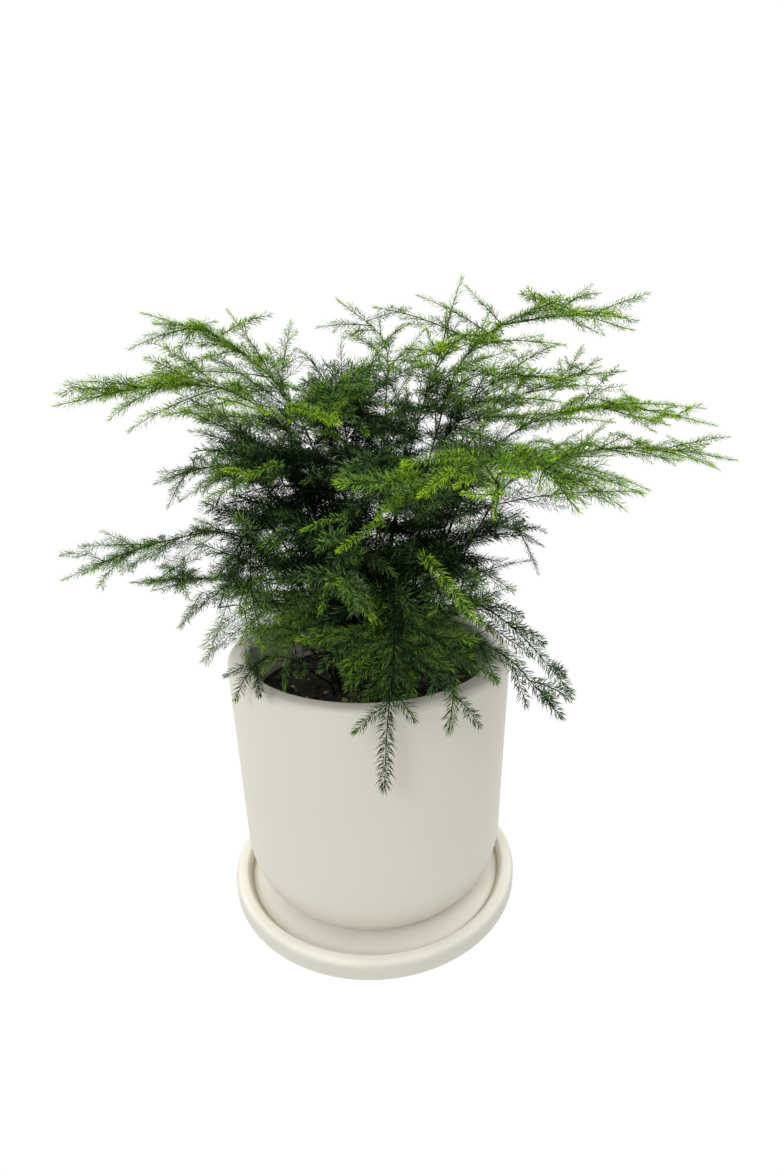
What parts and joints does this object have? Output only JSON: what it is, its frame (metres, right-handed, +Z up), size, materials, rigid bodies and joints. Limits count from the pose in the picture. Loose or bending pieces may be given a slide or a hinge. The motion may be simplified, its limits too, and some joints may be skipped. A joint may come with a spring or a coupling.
{
  "type": "potted asparagus fern",
  "caption": "Feathery asparagus fern with arching, needle-leaved fronds, growing in a plain round ceramic pot that stands on a matching saucer.",
  "frame": {"origin": "middle of the saucer's flat underside", "axes": "+Z up, -Y towards the front of the plant as pictured, +X to its right"},
  "size_m": [0.331, 0.2185, 0.2821],
  "materials": {
    "pot_glaze": "satin cream white glaze",
    "saucer_glaze": "satin cream white glaze",
    "potting_soil": "dark crumbly potting soil",
    "young_frond": "fresh yellow green foliage",
    "green_frond": "mid green foliage",
    "old_frond": "dark blue green foliage"
  },
  "bodies": {
    "root": {"saucer": "saucer_glaze", "pot": "pot_glaze", "soil": "potting_soil", "frond_top_right": "young_frond", "frond_tuft": "young_frond", "frond_right_far": "young_frond", "frond_right_low": "green_frond", "frond_right_up": "green_frond", "frond_right_mid": "green_frond", "frond_bright": "young_frond", "frond_top_mid": "green_frond", "frond_left_top": "green_frond", "frond_left_long": "young_frond", "frond_left_back": "old_frond", "frond_left_low": "old_frond", "frond_left_lower": "old_frond", "frond_left_front": "green_frond", "frond_curtain": "old_frond", "frond_core_left": "old_frond", "frond_core_right": "green_frond", "frond_mid_spray": "green_frond", "frond_front_top": "green_frond", "frond_front_droop": "green_frond", "frond_right_droop": "green_frond", "frond_rim_left": "green_frond", "frond_right_side": "green_frond", "frond_right_lean": "green_frond", "frond_right_back": "old_frond", "frond_back_left": "old_frond", "frond_back_mid": "green_frond", "frond_back_right": "green_frond", "frond_back_low": "old_frond"}
  },
  "joints": []
}
